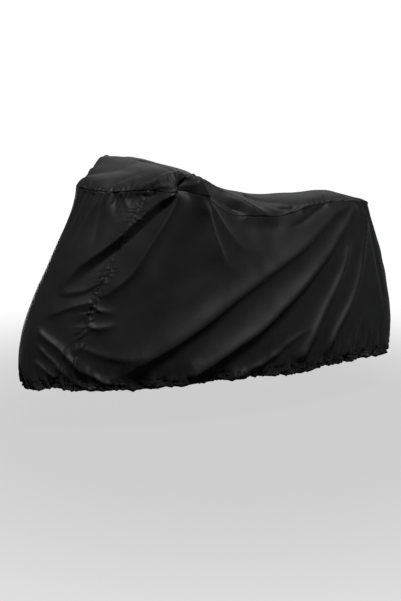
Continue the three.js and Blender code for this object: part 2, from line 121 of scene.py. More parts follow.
# One fold per row: the places its crest runs through as (station, level), how far the crest
# stands out, and how far its two flanks reach to the right and left of its run, in mm; a trough
# has a negative height. Soft is how round the crest is. Taper is the share of its size that a
# fold starts with, and rise and fade are the shares of its run over which it comes and goes.
# Columns: places, height, right, left, soft, taper, rise, fade.
LEFT_FOLDS = (
    # from the handlebar down and forward, across the puckered seam
    (((18.4, 1.00), (17.3, 1.01), (14.9, 1.06), (13.0, 1.16), (11.4, 1.25), (8.4, 1.36), (5.2, 1.49)),
     32, 58, 26, 0.4, 0.45, 0.06, 0.20),
    (((20.6, 0.57), (20.1, 0.76), (19.2, 0.93), (17.7, 1.02), (15.6, 1.10), (12.6, 1.27), (9.6, 1.39),
      (6.2, 1.49)), -17, 20, 34, 0.7, 0.4, 0.22, 0.30),
    (((18.4, 1.01), (17.6, 1.13), (17.1, 1.27), (16.2, 1.40), (14.1, 1.48), (11.9, 1.54)),
     24, 44, 28, 0.5, 0.55, 0.04, 0.25),
    (((12.3, 1.42), (9.9, 1.48), (5.8, 1.50)), 9, 20, 11, 0.3, 0.8, 0.15, 0.20),
    (((12.7, 1.53), (9.4, 1.55), (7.7, 1.57), (4.8, 1.61)), 13, 28, 15, 0.4, 0.8, 0.15, 0.25),
    # over the nose down and back to the hem
    (((3.8, 1.64), (6.2, 1.69), (8.9, 1.74), (10.5, 1.78), (12.2, 1.83), (14.2, 1.92)),
     20, 34, 24, 0.4, 0.45, 0.16, 0.15),
    (((4.5, 1.71), (7.1, 1.78), (9.1, 1.83), (11.4, 1.91)), 10, 17, 12, 0.4, 0.6, 0.25, 0.15),
    (((4.9, 1.80), (6.9, 1.86), (9.4, 1.92)), 9, 15, 11, 0.4, 0.6, 0.30, 0.15),
    (((11.7, 1.79), (13.2, 1.85), (14.8, 1.90), (16.8, 1.96)), 15, 22, 15, 0.3, 0.7, 0.10, 0.15),
    (((12.2, 1.735), (14.4, 1.77), (16.2, 1.79), (18.5, 1.795), (21.5, 1.76)),
     13, 36, 40, 0.5, 0.5, 0.06, 0.40),
    (((12.3, 1.64), (14.2, 1.65), (16.8, 1.63)), 13, 20, 22, 0.4, 0.6, 0.06, 0.55),
    (((12.3, 1.55), (13.6, 1.575), (16.2, 1.585)), 12, 17, 26, 0.4, 0.6, 0.06, 0.55),
    # long folds from the tail down and forward to the hem
    (((46.6, 1.02), (42.7, 1.17), (39.6, 1.26), (36.0, 1.34), (31.9, 1.44), (28.1, 1.54),
      (24.7, 1.65), (21.9, 1.74), (19.2, 1.82), (16.9, 1.93)), 34, 125, 37, 0.4, 0.52, 0.05, 0.12),
    (((47.3, 1.03), (45.4, 1.18), (42.7, 1.31), (40.1, 1.40), (37.7, 1.48), (34.5, 1.58),
      (31.3, 1.68), (28.2, 1.77), (25.1, 1.88), (22.8, 1.95)), 37, 84, 35, 0.33, 0.50, 0.04, 0.10),
    (((38.4, 1.69), (35.5, 1.76), (32.7, 1.85), (30.1, 1.92), (27.8, 1.97)),
     18, 30, 28, 0.3, 0.4, 0.20, 0.10),
    (((45.7, 1.26), (44.1, 1.40), (42.1, 1.51), (39.9, 1.62), (37.7, 1.77), (36.0, 1.92)),
     30, 42, 32, 0.35, 0.4, 0.12, 0.12),
    (((48.3, 1.05), (47.3, 1.29), (46.2, 1.43), (44.5, 1.56), (42.9, 1.65), (41.2, 1.74),
      (39.3, 1.90)), 25, 26, 27, 0.3, 0.4, 0.05, 0.12),
    (((45.4, 1.67), (43.8, 1.79), (42.5, 1.94)), 12, 19, 15, 0.3, 0.5, 0.20, 0.10),
    (((47.9, 1.03), (48.5, 1.14), (48.3, 1.30), (48.2, 1.47), (48.3, 1.74)),
     -13, 15, 15, 0.4, 0.6, 0.06, 0.25),
    (((43.8, 1.01), (41.4, 1.08), (40.0, 1.11), (37.4, 1.13)), -10, 16, 18, 0.5, 0.8, 0.10, 0.40),
    # swags that hang between the handlebar and the tail
    (((20.7, 0.80), (21.4, 1.02), (23.1, 1.10), (24.5, 1.18), (25.5, 1.25), (26.7, 1.32),
      (28.0, 1.38), (31.0, 1.43)), 38, 84, 54, 0.40, 0.65, 0.04, 0.40),
    (((20.7, 0.61), (21.0, 0.80), (22.0, 0.94), (23.6, 1.03), (25.2, 1.08), (27.8, 1.18), (30.6, 1.27),
      (35.0, 1.27)), 28, 50, 46, 0.40, 0.60, 0.06, 0.40),
    (((25.8, 1.07), (29.5, 1.10), (34.0, 1.10), (40.5, 1.06)), -9, 40, 50, 1.2, 1.0, 0.35, 0.35),
    # pleats under the front seam, and the pocket under the puckers beside the handlebar
    (((3.7, 1.01), (3.5, 1.12), (3.2, 1.25), (3.0, 1.38)), -11, 30, 28, 1.1, 0.5, 0.05, 0.60),
    (((2.2, 1.01), (1.7, 1.12), (1.6, 1.26)), -7, 16, 16, 0.5, 0.6, 0.05, 0.40),
    (((5.9, 1.05), (6.9, 1.17), (7.8, 1.25), (8.9, 1.32)), -5, 24, 24, 0.7, 0.6, 0.20, 0.40),
    (((7.2, 1.00), (8.0, 1.06), (9.1, 1.15)), -8, 18, 18, 0.8, 0.8, 0.04, 0.50),
    (((8.3, 1.00), (9.5, 1.06), (10.9, 1.13)), 4, 9, 12, 0.5, 0.8, 0.04, 0.40),
    (((6.3, 1.00), (6.6, 1.06), (7.0, 1.15)), 6, 9, 12, 0.4, 0.8, 0.04, 0.70),
    (((4.9, 1.00), (5.1, 1.06), (5.3, 1.14)), 7, 14, 14, 0.5, 0.8, 0.04, 0.50),
    (((6.6, 1.03), (8.6, 1.045), (10.6, 1.04), (12.4, 1.03)), -5, 30, 18, 0.8, 1.0, 0.30, 0.25),
    (((11.2, 1.03), (12.7, 1.036), (14.2, 1.016)), -6, 9, 10, 0.7, 1.0, 0.25, 0.25),
)
CAP_FOLDS = (
    # pleats that fan from the puckers to the grip
    (((10.0, 0.97), (11.6, 0.90), (13.1, 0.83), (14.8, 0.71), (16.9, 0.64), (20.1, 0.61)),
     12, 44, 15, 0.4, 0.6, 0.10, 0.12),
    (((12.7, 0.986), (14.4, 0.93), (16.9, 0.91)), 8, 12, 13, 0.5, 0.8, 0.30, 0.50),
    (((12.4, 0.94), (13.7, 0.83), (15.4, 0.73)), 6, 13, 13, 0.5, 0.9, 0.30, 0.50),
    # the hollow under the grip
    (((18.0, 1.00), (19.6, 1.00), (21.3, 1.01)), -10, 30, 70, 0.8, 1.0, 0.25, 0.25),
    # where the cap drops to the tank and seat
    (((22.3, 0.50), (23.6, 0.51), (25.6, 0.54), (27.4, 0.63), (28.8, 0.73), (30.5, 0.87), (32.0, 1.02)),
     -29, 46, 30, 0.4, 0.7, 0.10, 0.25),
    (((23.2, 0.26), (25.8, 0.38), (28.2, 0.50), (30.6, 0.67), (32.8, 0.83), (34.8, 0.96), (37.0, 1.05)),
     30, 52, 32, 0.6, 0.7, 0.15, 0.25),
    (((32.0, 0.22), (34.2, 0.40), (36.1, 0.60), (38.2, 0.83), (40.2, 1.01)),
     -19, 18, 26, 0.4, 1.0, 0.10, 0.15),
    (((37.4, 0.86), (39.4, 0.92), (41.6, 0.93)), 5, 8, 8, 0.3, 1.0, 0.15, 0.40),
    (((37.8, 0.95), (39.8, 0.97), (42.4, 0.97)), 5, 7, 7, 0.3, 1.0, 0.15, 0.40),
    (((5.2, 0.98), (5.6, 0.80), (8.2, 0.55), (12.0, 0.40)), -6, 24, 24, 0.7, 0.7, 0.08, 0.40),
    (((2.4, 0.98), (2.6, 0.84), (4.4, 0.55)), -5, 15, 15, 0.7, 0.7, 0.08, 0.40),
)
# The right side has the same folds a little further forward and shallower.
RIGHT_SHIFT = -0.8
RIGHT_DEPTH = 0.85
FOLD_STEPS = 40
# A crest bends over at least this far, a fold is left out beyond this many flanks from it, and
# the change from one flank to the other takes this far on either side of the crest.
CREST_ROUND = 7 * MM
FLANKS_REACHED = 3.0
CREST_EASE = 4 * MM

# The middle of the part's base, from the frame the ribs are measured in.
ORIGIN = np.array([-1.436, -1.675, 220.0]) * MM

# The visual mesh: its cell size in stations and levels, and how many parts a fine cell splits in.
STATION_STEP = 0.18
LEVEL_STEP = 0.0072
CAP_LEVEL_STEP = 0.0165
REFINE = 2

# Panels lap by this much of a station or level, and the lower layer lies this far clear.
STATION_LAP = 0.03
LEVEL_LAP = 0.003
LAP_GAP = 0.25 * MM
# A tucked edge starts to dip the first of these short of its seam, and is all the way down
# after the second.
LEVEL_TUCK = (0.008, 0.007)
STATION_TUCK = (0.2, 0.18)

# The wrinkles across the gathered front seams: their pitch along the seam, how far they reach
# either side of it and how much that varies, the width of the groove at the seam itself, and
# the length over which they start below the cap seam.
PUCKER_PITCH = 23 * MM
PUCKER_REACH = 32 * MM
PUCKER_REACH_CHANGE = 18 * MM
PUCKER_GROOVE = 3 * MM
PUCKER_EASE = 6 * MM
# The right side's wrinkles start this far along the pattern, so that they differ from the left's.
RIGHT_PATTERN_START = 3.0
# How strong they are down the seam. Columns: level, strength.
PUCKERS = ((1.00, 0.5), (1.06, 0.8), (1.17, 1.1), (1.23, 0.2), (1.36, 0.2), (1.42, 1.2), (1.48, 0.7),
           (1.56, 1.0), (1.64, 1.5), (1.75, 1.5), (1.84, 1.0), (1.92, 0.8), (2.00, 0.5))

# The gathers at the cap seam: their pitch in stations, how far they reach below the seam and how
# much that varies, how far above it, and their share of strength behind the front part.
GATHER_PITCH = 0.9
GATHER_REACH = 42 * MM
GATHER_REACH_CHANGE = 22 * MM
GATHER_REACH_ABOVE = 9 * MM
REST_OF_SEAM = 0.1

# The creases and pleats at the hem: length round the cover and height of one, and how far up the
# band of creases, the pleats and the edge's uneven hang reach.
HEM_CREASE = (21 * MM, 46 * MM)
HEM_PLEAT = (40 * MM, 170 * MM)
HEM_BAND = 62 * MM
HEM_PLEAT_REACH = 85 * MM
HEM_DROOP_REACH = 35 * MM


def smooth(t):
    """Eased step: 0 below 0, 1 above 1, and 3t^2 - 2t^3 between."""
    t = np.clip(t, 0.0, 1.0)
    return t * t * (3.0 - 2.0 * t)


def wander(x, spacing, seed):
    """Smooth random curve from -1 to 1: eased steps between seeded values one spacing apart."""
    knots = np.random.default_rng(seed).uniform(-1.0, 1.0, 4096)
    u = np.asarray(x) / spacing + 1000.0
    i = np.floor(u).astype(int)
    return knots[i % 4096] + (knots[(i + 1) % 4096] - knots[i % 4096]) * smooth(u - i)


def rib_table(corners):
    """Ribs as rows of plain numbers in metres, with the given corners in place of their own and
    two mirrored rows past each end."""
    rows = np.array([[station, *np.ravel(points), tight] for station, *points, tight in RIBS], float)
    for station, corner, tight in corners:
        rows[rows[:, 0] == station, 4:7] = corner
        rows[rows[:, 0] == station, -1] = tight
    rows[:, 1:-1] *= MM
    flip = np.ones(rows.shape[1])
    flip[2:-1:3] = -1.0
    nose = rows[[2, 1]] * flip
    nose[:, 0] *= -1.0
    tail = rows[[-2, -3]] * flip
    tail[:, 0] = 2.0 * TAIL - tail[:, 0]
    return np.vstack([nose, rows, tail])


LEFT_TABLE = rib_table(())
RIGHT_TABLE = rib_table(RIGHT_CORNERS)


def profile(station, table):
    """Rib values at any station: a cubic through the ribs, tangents weighted for uneven spacing."""
    knots, values = table[:, 0], table[:, 1:]
    at = np.abs(station)
    i = np.clip(np.searchsorted(knots, at, side="right") - 1, 1, len(knots) - 3)
    gap = np.diff(knots)[:, None]
    slope = np.diff(values, axis=0) / gap
    t = ((at - knots[i]) / gap[i, 0])[..., None]
    before = (slope[i - 1] * gap[i] + slope[i] * gap[i - 1]) / (gap[i - 1] + gap[i])
    after = (slope[i] * gap[i + 1] + slope[i + 1] * gap[i]) / (gap[i] + gap[i + 1])
    return ((2 * t**3 - 3 * t * t + 1) * values[i] + (t**3 - 2 * t * t + t) * gap[i] * before
            + (3 * t * t - 2 * t**3) * values[i + 1] + (t**3 - t * t) * gap[i] * after)


def drape(station, level):
    """Smooth drape without folds. Above the seam it is the weighted arc from spine to seam that
    bends round the corner; below it is the cubic through seam, upper, lower and hem. Near the
    handlebars the sheet is sheared by the steering and the lean, in proportion to Y."""
    station, level = np.broadcast_arrays(np.asarray(station, float), np.asarray(level, float))
    row = np.where(station[..., None] < 0, profile(station, RIGHT_TABLE), profile(station, LEFT_TABLE))
    spine, corner, seam, upper, lower, hem = (row[..., 3 * i:3 * i + 3] for i in range(6))
    w = np.clip(level, 0.0, 1.0)[..., None]
    arc = (1 - w) ** 2, 2 * w * (1 - w) * row[..., 18:19], w * w
    cap = (arc[0] * spine + arc[1] * corner + arc[2] * seam) / (arc[0] + arc[1] + arc[2])
    v = 3.0 * np.clip(level - 1.0, 0.0, 1.0)[..., None]
    skirt = (-(v - 1) * (v - 2) * (v - 3) / 6 * seam + v * (v - 2) * (v - 3) / 2 * upper
             - v * (v - 1) * (v - 3) / 2 * lower + v * (v - 1) * (v - 2) / 6 * hem)
    point = np.where(level[..., None] < CAP_SEAM, cap, skirt)
    point[..., 1] *= np.where(station < 0, -1.0, 1.0)
    near = np.exp(-(((point[..., 0] - BAR_X) / BAR_REACH) ** 2))
    lean = point[..., 1] * near * smooth((point[..., 2] - LEAN_FROM_Z) / LEAN_OVER_Z)
    point[..., 0] -= STEER_SLOPE * lean
    point[..., 2] -= LEAN_SLOPE * lean
    return point


def drape_frame(station, level):
    """Point, unit tangent downwards and outward normal of the smooth drape, with the metres that
    one station and one level measure there. The way round is taken just off the spine, because
    it has no length where the spine starts and ends."""
    d_station, d_level = 0.15, 0.03
    point = drape(station, level)
    off_spine = np.maximum(level, d_level)
    round_ = drape(station + d_station, off_spine) - drape(station - d_station, off_spine)
    low, high = np.clip(level - d_level, 0.0, HEM), np.clip(level + d_level, 0.0, HEM)
    down = (drape(station, high) - drape(station, low)) / (high - low)[..., None]
    round_ /= 2 * d_station
    per_station = np.linalg.norm(round_, axis=-1)
    per_level = np.linalg.norm(down, axis=-1)
    normal = np.cross(down, round_)
    normal /= np.linalg.norm(normal, axis=-1, keepdims=True)
    return point, down / per_level[..., None], normal, per_station, per_level


def fold_line(places, side):
    """A fold's crest on the drape: an even-paced cubic through its places, and the drape's
    outward normal along it."""
    places = np.array(places, float)
    if side < 0:
        places[:, 0] += RIGHT_SHIFT
    knots = np.vstack([2 * places[0] - places[1], places, 2 * places[-1] - places[-2]])
    t = np.linspace(0.0, len(places) - 1.0, FOLD_STEPS + 1)
    i = np.minimum(t.astype(int), len(places) - 2)
    t = (t - i)[:, None]
    a, b, c, d = (knots[i + k] for k in range(4))
    run = 0.5 * (2 * b + (c - a) * t + (2 * a - 5 * b + 4 * c - d) * t**2 + (3 * (b - c) + d - a) * t**3)
    point, _, normal, _, _ = drape_frame(side * run[:, 0], run[:, 1])
    return point, normal


def fold_height(point, side):
    """Sum of one side's folds at points of the drape. Across a fold the height falls off as
    exp(soft - sqrt(soft^2 + (1.5 d / flank)^2)) on either flank, with soft raised where the crest
    would be sharper than cloth bends; along it the size grows from its taper and eases in and out."""
    total = np.zeros(point.shape[:-1])
    flat = point.reshape(-1, 3)
    for places, height, right, left, soft, taper, rise, fade in LEFT_FOLDS + CAP_FOLDS:
        line, normal = fold_line(places, side)
        reach = FLANKS_REACHED * max(right, left) * MM
        near = np.all((flat > line.min(0) - reach) & (flat < line.max(0) + reach), axis=1)
        if not near.any():
            continue
        here = flat[near]
        run = np.diff(line, axis=0)
        away = here[:, None, :] - line[None, :-1, :]
        t = np.clip(np.einsum("nsk,sk->ns", away, run) / (run * run).sum(-1), 0.0, 1.0)
        gap = away - t[..., None] * run
        distance = np.linalg.norm(gap, axis=-1)
        best = distance.argmin(axis=1)
        pick = np.arange(len(here)), best
        rightward = side * np.cross(run, normal[:-1])
        leaning = smooth(0.5 + 0.5 * np.einsum("nk,nk->n", gap[pick], rightward[best])
                         / (np.linalg.norm(rightward[best], axis=1) * CREST_EASE))
        along = (best + t[pick]) / FOLD_STEPS
        size = taper + (1.0 - taper) * along
        flank = (left + (right - left) * leaning) * size * MM
        bend = np.maximum(soft, 1.5 * CREST_ROUND / flank)
        bell = np.exp(bend - np.hypot(bend, 1.5 * distance[pick] / flank))
        ends = smooth(along / rise) * smooth((1.0 - along) / fade)
        depth = height * MM * (RIGHT_DEPTH if side < 0 else 1.0)
        total.reshape(-1)[near] += depth * size * ends * bell
    return total


def speckle(u, v, seed):
    """Smooth random surface from -1 to 1: eased steps between seeded values one unit apart."""
    knots = np.random.default_rng(seed).uniform(-1.0, 1.0, (256, 256))
    i, j = np.floor(u).astype(int), np.floor(v).astype(int)
    s, t = smooth(u - i), smooth(v - j)
    i, j, k, m = i % 256, j % 256, (i + 1) % 256, (j + 1) % 256
    return ((1 - s) * ((1 - t) * knots[i, j] + t * knots[i, m])
            + s * ((1 - t) * knots[k, j] + t * knots[k, m]))


def crumple(u, v, seed):
    """Creased random surface from about -1 to 1: sharp ridges where smooth surfaces cross zero,
    at two sizes."""
    large = 1.0 - 2.6 * np.abs(speckle(u, v, seed))
    small = 1.0 - 2.6 * np.abs(speckle(2.3 * u + 0.4 * v, 2.1 * v + 7.0, seed + 1))
    return 0.7 * large + 0.35 * small


def pucker_height(station, level, per_station, per_level, depth):
    """Wrinkles across the two gathered front seams: pinched waves along the seam that die out a
    few centimetres either side, over a groove at the seam itself."""
    off = (np.abs(station) - PUCKER_SEAM) * per_station
    along = (level - CAP_SEAM) * per_level + np.where(station < 0, RIGHT_PATTERN_START, 0.0)
    away = smooth(np.abs(off) / (25 * MM)) * np.where(off > 0, 1.0, -1.0)
    phase = along / PUCKER_PITCH + 1.1 * wander(along, 61 * MM, 5) + 0.9 * away * wander(along, 37 * MM, 9)
    wave = np.sqrt(0.04 + 0.5 + 0.5 * np.cos(2 * math.pi * phase))
    strength = np.interp(level, *np.transpose(PUCKERS)) * (0.75 + 0.45 * wander(along, 31 * MM, 11))
    reach = PUCKER_REACH + PUCKER_REACH_CHANGE * wander(along, 23 * MM, 13)
    near = np.exp(-(np.abs(off) / reach) ** 1.5)
    creases = 0.6 * crumple(along / (19 * MM), off / (36 * MM), 15) * np.exp(-(off / PUCKER_REACH) ** 2)
    mix = 0.75 + 0.35 * wander(along, 53 * MM, 17)
    inside = smooth(along % RIGHT_PATTERN_START / PUCKER_EASE)
    groove = -0.7 * np.exp(-((off / PUCKER_GROOVE) ** 2))
    height = depth * inside * (strength * (mix * wave * near + creases) + groove)
    return np.where(level >= CAP_SEAM, height, 0.0)


def front_gather_height(station, level, per_level, depth):
    """Gathers at the front part of the cap seam: waves round the cover that fade downwards, and
    much faster above the seam. The rest of the seam has them far more faintly."""
    below = (level - CAP_SEAM) * per_level
    phase = station / GATHER_PITCH + 0.6 * wander(station, 1.7, 21)
    wave = np.cos(2 * math.pi * phase) * (0.6 + 0.4 * wander(station, 1.3, 23))
    reach_below = GATHER_REACH + GATHER_REACH_CHANGE * wander(station, 0.8, 27)
    reach = np.where(below > 0, reach_below, GATHER_REACH_ABOVE)
    where = (smooth((PUCKER_SEAM + 2.0 - np.abs(station)) / 3.0)
             + REST_OF_SEAM * smooth((TAIL - np.abs(station)) / 4.0))
    return depth * where * wave * np.exp(-np.abs(below) / reach)


def length_table(stations, levels):
    """Running length in metres along a line of places on the drape."""
    line = drape(stations, levels)
    return np.concatenate([[0.0], np.cumsum(np.linalg.norm(np.diff(line, axis=0), axis=1))])


ROUND_STATIONS = np.linspace(0.0, TAIL, 201)
ROUND_LENGTHS = length_table(ROUND_STATIONS, 1.6)
DOWN_LEVELS = np.linspace(0.0, HEM, 201)
DOWN_LENGTHS = length_table(31.0, DOWN_LEVELS)


def way_round(station):
    """Metres round the cover from the nose at mid height, negative on the right side."""
    return np.sign(station) * np.interp(np.abs(station), ROUND_STATIONS, ROUND_LENGTHS)


def round_the_cover(pattern, station):
    """A pattern given by the way round, eased near the tail so that both sides agree there."""
    way = way_round(station)
    blend = smooth((np.abs(station) - 44.0) / 5.0)
    return (1.0 - blend) * pattern(way) + blend * pattern(np.abs(way))


def hem_gather_height(station, level, per_level, depth):
    """Crumpled gathers of the elastic hem: creases in the band at the edge and longer pleats that
    run up from it, strongest round the nose and tail, over the casing's stitched groove."""
    up = (HEM - level) * per_level
    tail_end = smooth((np.abs(station) - 41.0) / 4.0)
    nose_end = smooth((15.0 - np.abs(station)) / 6.0)
    ends = 0.9 + 0.6 * tail_end + 0.3 * nose_end
    band = round_the_cover(lambda way: crumple(way / HEM_CREASE[0], up / HEM_CREASE[1], 31), station)
    pleats = round_the_cover(lambda way: crumple(way / HEM_PLEAT[0], up / HEM_PLEAT[1], 41), station)
    edge = 0.5 + 0.5 * smooth(up / (16 * MM))
    roll = 0.3 * np.exp(-((up - 9 * MM) / (8 * MM)) ** 2)
    groove = 0.2 * np.exp(-((up - 27 * MM) / (4 * MM)) ** 2)
    return depth * ends * (edge * band * np.exp(-((up / HEM_BAND) ** 3))
                           + 2.0 * edge * pleats * np.exp(-up / HEM_PLEAT_REACH) + roll - groove)


def hem_droop(station, level, per_level, depth):
    """How far the uneven hem hangs below its smooth line, fading upwards."""
    uneven = round_the_cover(
        lambda way: 0.5 * wander(way, 80 * MM, 51) + 0.2 * wander(way, 27 * MM, 53), station)
    return depth * uneven * np.exp(-(HEM - level) * per_level / HEM_DROOP_REACH)


def slack_height(point):
    """Faint unevenness of limp cloth: three crossed swells of a few hand widths."""
    x, y, z = np.moveaxis(point, -1, 0)
    a = np.sin(2 * math.pi * (x / 0.31 + z / 0.47 + 0.6 * np.sin(z / 0.11)))
    b = np.sin(2 * math.pi * (x / 0.23 - z / 0.37 + 0.5 * np.sin(x / 0.09 + 4 * y)))
    c = np.sin(2 * math.pi * (x / 0.13 + z / 0.19 + y / 0.2))
    return MM * (0.9 * a + 0.7 * b + 0.35 * c)


def cap_seam_groove(level, per_level):
    """The cap seam's sunk line with a slight roll on the cap's side of it."""
    off = (level - CAP_SEAM) * per_level
    roll = 0.8 * MM * np.exp(-((off + 5 * MM) / (3.5 * MM)) ** 2)
    groove = 1.4 * MM * np.exp(-((off / (2.2 * MM)) ** 2))
    return roll - groove


def tucked(station, level, laps):
    """Share of the way that a panel's edges lie under their neighbours: for each lap, eased in
    over the last few millimetres."""
    under = np.zeros(station.shape)
    if "cap" in laps:
        under = np.maximum(under, smooth((CAP_SEAM + LEVEL_TUCK[0] - level) / LEVEL_TUCK[1]))
    for lap, seam in (("pucker", PUCKER_SEAM), ("tail", TAIL)):
        if lap in laps:
            past = np.abs(station) - seam + STATION_TUCK[0]
            under = np.maximum(under, smooth(past / STATION_TUCK[1]))
    return under


def cover_surface(station, level, settings, laps=()):
    """The whole cover at paired stations and levels, all on one side: the smooth drape moved
    along its normal by the long folds, the puckers, the gathers and the slack. Returns points,
    normals and the downward direction."""
    point, down, normal, per_station, per_level = drape_frame(station, level)
    side = -1.0 if station.min() < 0 else 1.0
    folds = fold_height(point, side) * smooth(level / 0.1)
    lift = (folds * settings.fold_depth + slack_height(point)
            + cap_seam_groove(level, per_level)
            + pucker_height(station, level, per_station, per_level, settings.pucker_depth)
            + front_gather_height(station, level, per_level, settings.gather_depth)
            + hem_gather_height(station, level, per_level, settings.hem_depth)
            - tucked(station, level, laps) * (settings.cloth_thickness + LAP_GAP))
    droop = hem_droop(station, level, per_level, settings.hem_depth)
    return point + normal * lift[..., None] + down * droop[..., None] - ORIGIN, normal, down


def split(values):
    """A list of values with every gap split in REFINE equal parts."""
    parts = np.arange(REFINE) / REFINE
    return np.append((values[:-1, None] + np.diff(values)[:, None] * parts).ravel(), values[-1])


def cell_faces(fine):
    """Faces of a lattice of cells as vertex numbers, REFINE vertices to a cell side. A fine cell
    is split into small quads; any other is one face that takes in the vertices of its fine
    neighbours."""
    across, along = fine.shape
    number = np.arange((REFINE * across + 1) * (REFINE * along + 1))
    number = number.reshape(REFINE * across + 1, REFINE * along + 1)
    i, j = np.nonzero(np.kron(fine, np.ones((REFINE, REFINE), bool)))
    faces = np.stack([number[i, j], number[i, j + 1], number[i + 1, j + 1], number[i + 1, j]],
                     axis=-1).tolist()
    ring = np.pad(fine, 1)
    beside = ring[:-2, 1:-1], ring[1:-1, 2:], ring[2:, 1:-1], ring[1:-1, :-2]
    corners = ((0, 0), (0, REFINE), (REFINE, REFINE), (REFINE, 0), (0, 0))
    for pattern in itertools.product((False, True), repeat=4):
        chosen = ~fine
        outline = []
        for edge, split_edge in enumerate(pattern):
            chosen = chosen & (beside[edge] == split_edge)
            start, stop = np.array(corners[edge]), np.array(corners[edge + 1])
            for part in range(REFINE if split_edge else 1):
                outline.append(start + (stop - start) * part // REFINE)
        a, b = np.nonzero(chosen)
        faces += np.stack([number[REFINE * a + i, REFINE * b + j] for i, j in outline],
                          axis=-1).tolist()
    return faces


def fine_cells(stations, levels):
    """Which cells of a panel are split: those near a seam, a gather or the hem."""
    station = (stations[1:] + stations[:-1])[:, None] / 2 + 0 * levels[None, 1:]
    level = (levels[1:] + levels[:-1])[None, :] / 2 + 0 * station
    per_station, per_level = drape_frame(station, level)[3:]
    pucker_reach = np.where(level > CAP_SEAM, 50, 30) * MM
    pucker = np.abs(np.abs(station) - PUCKER_SEAM) * per_station < pucker_reach
    below = (level - CAP_SEAM) * per_level
    seam_reach = np.where(np.abs(station) < PUCKER_SEAM + 2, 70, 22) * MM
    seam = (below > -22 * MM) & (below < seam_reach)
    hem = (HEM - level) * per_level < 66 * MM
    tail = (TAIL - np.abs(station)) * per_station < 12 * MM
    return pucker & (below > -90 * MM) | seam | hem | tail & (level > CAP_SEAM)


Patch = namedtuple("Patch", "points faces flat number normals down")


def lay_patch(stations, levels, side, settings, laps=()):
    """Part of the cover on one side, from ascending distances from the nose. Its number gives
    the vertex at every lattice place, or -1."""
    fine = fine_cells(stations, levels)
    if side < 0:
        stations, fine = -stations[::-1], fine[::-1]
    faces = cell_faces(fine)
    wide, tall = split(stations), split(levels)
    used = np.unique(np.fromiter(itertools.chain.from_iterable(faces), int))
    number = np.full(len(wide) * len(tall), -1)
    number[used] = np.arange(len(used))
    station, level = wide[used // len(tall)], tall[used % len(tall)]
    points, normals, down = cover_surface(station, level, settings, laps)
    flat = np.stack([way_round(station), np.interp(level, DOWN_LEVELS, DOWN_LENGTHS)], axis=-1)
    faces = [[number[corner] for corner in face] for face in faces]
    return Patch(points, faces, flat, number.reshape(len(wide), len(tall)), normals, down)


def join_patches(right, left, shared):
    """The two sides of a piece as one: where shared says so, the right side's lattice places
    take the left side's vertices."""
    twin = left.number[::-1]
    number = np.where(right.number >= 0, right.number + len(left.points), -1)
    number = np.where(shared & (number >= 0), twin, number)
    renumber = np.full(len(right.points), -1)
    at = right.number >= 0
    renumber[right.number[at]] = number[at]
    faces = left.faces + [[renumber[corner] for corner in face] for face in right.faces]
    whole = [np.concatenate([getattr(left, part), getattr(right, part)])
             for part in ("points", "flat", "normals", "down")]
    points, flat, normals, down = whole
    return Patch(points, faces, flat, np.concatenate([number[:-1], left.number]), normals, down)


def drop_unused(patch):
    """The patch without the vertices that no face uses."""
    corners = np.fromiter(itertools.chain.from_iterable(patch.faces), int)
    used = np.unique(corners)
    renumber = np.full(len(patch.points), -1)
    renumber[used] = np.arange(len(used))
    faces = [[renumber[corner] for corner in face] for face in patch.faces]
    number = np.where(patch.number >= 0, renumber[patch.number], -1)
    return Patch(patch.points[used], faces, patch.flat[used], number, patch.normals[used],
                 patch.down[used])


# The turned hem: steps round its edge, the shares of its width where its rows lie, and how far
# one row is from the next in the flat pattern.
TURN_STEPS = 5
CLIMBS = (0.4, 0.75, 1.0)
FLAT_ROW = np.array([0.0, 4 * MM])


def turn_hem(patch, width, gap):
    """The patch with its cloth carried round under the edge and back up inside: a half circle
    of the given gap, then straight up by the width."""
    edge = patch.number[:, -1]
    point, down, inward = patch.points[edge], patch.down[edge], -patch.normals[edge]
    rows = []
    for angle in np.linspace(0, math.pi, TURN_STEPS + 1)[1:]:
        rows.append(point + gap / 2 * ((1 - math.cos(angle)) * inward + math.sin(angle) * down))
    for climb in CLIMBS:
        rows.append(point + gap * inward - climb * width * down)
    added = np.stack(rows, axis=1)
    number = len(patch.points) + np.arange(added.shape[0] * added.shape[1]).reshape(added.shape[:2])
    number = np.concatenate([edge[:, None], number], axis=1)
    quads = np.stack([number[:-1, :-1], number[:-1, 1:], number[1:, 1:], number[1:, :-1]], axis=-1)
    row = np.arange(1, added.shape[1] + 1)[:, None]
    flat = patch.flat[edge][:, None] + FLAT_ROW * row
    return patch._replace(points=np.concatenate([patch.points, added.reshape(-1, 3)]),
                          faces=patch.faces + quads.reshape(-1, 4).tolist(),
                          flat=np.concatenate([patch.flat, flat.reshape(-1, 2)]))


def mesh_object(name, points, faces, flat=None):
    """A mesh object from whole arrays, smooth shaded, with its flat pattern as a UV map in metres."""
    mesh = bpy.data.meshes.new(name)
    mesh.from_pydata(points.tolist(), [], faces)
    mesh.polygons.foreach_set("use_smooth", np.ones(len(mesh.polygons), bool))
    if flat is not None:
        corners = np.empty(len(mesh.loops), int)
        mesh.loops.foreach_get("vertex_index", corners)
        layer = mesh.uv_layers.new(name="flat_pattern")
        layer.data.foreach_set("uv", flat[corners].ravel())
    mesh.validate()
    piece = bpy.data.objects.new(name, mesh)
    bpy.context.collection.objects.link(piece)
    return piece


def finish_panel(name, patch, settings):
    """Makes a panel from its patch and gives it its cloth thickness, its material and its place
    in the frame."""
    piece = mesh_object(name, patch.points, patch.faces, patch.flat)
    wall = piece.modifiers.new("cloth thickness", "SOLIDIFY")
    wall.thickness = settings.cloth_thickness
    wall.offset = -1.0
    wall.use_rim = True
    piece.data.materials.append(cover_cloth(settings))
    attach(piece, "root")
    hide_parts(name)


